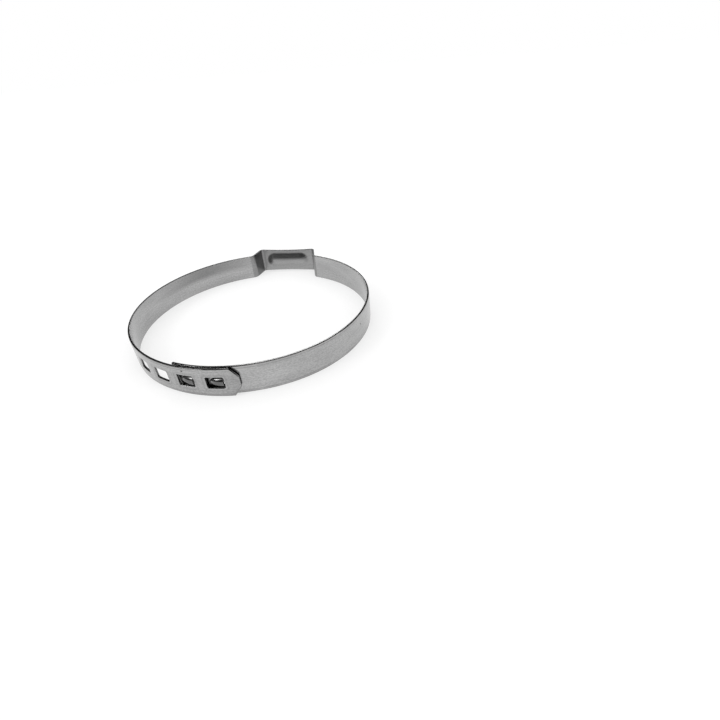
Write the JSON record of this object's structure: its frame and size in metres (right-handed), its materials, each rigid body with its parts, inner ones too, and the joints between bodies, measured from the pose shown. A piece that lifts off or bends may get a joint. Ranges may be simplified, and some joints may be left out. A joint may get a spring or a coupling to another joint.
{
  "type": "ear hose clamp",
  "caption": "Single-ear hose clamp: one strip of stainless steel hooked onto itself through windows in its lap, with a pinch ear that is crimped to tighten the band round a hose.",
  "frame": {"origin": "axis of the hose, at the plane of the band's lower edge", "axes": "+Z along the axis of the hose, +Y through the middle of the ear"},
  "size_m": [0.0864, 0.0925, 0.01],
  "materials": {
    "stainless_strip": "cold-rolled stainless steel strip, satin, with slit edges"
  },
  "bodies": {
    "root": {"clamp_band": "stainless_strip"}
  },
  "joints": []
}
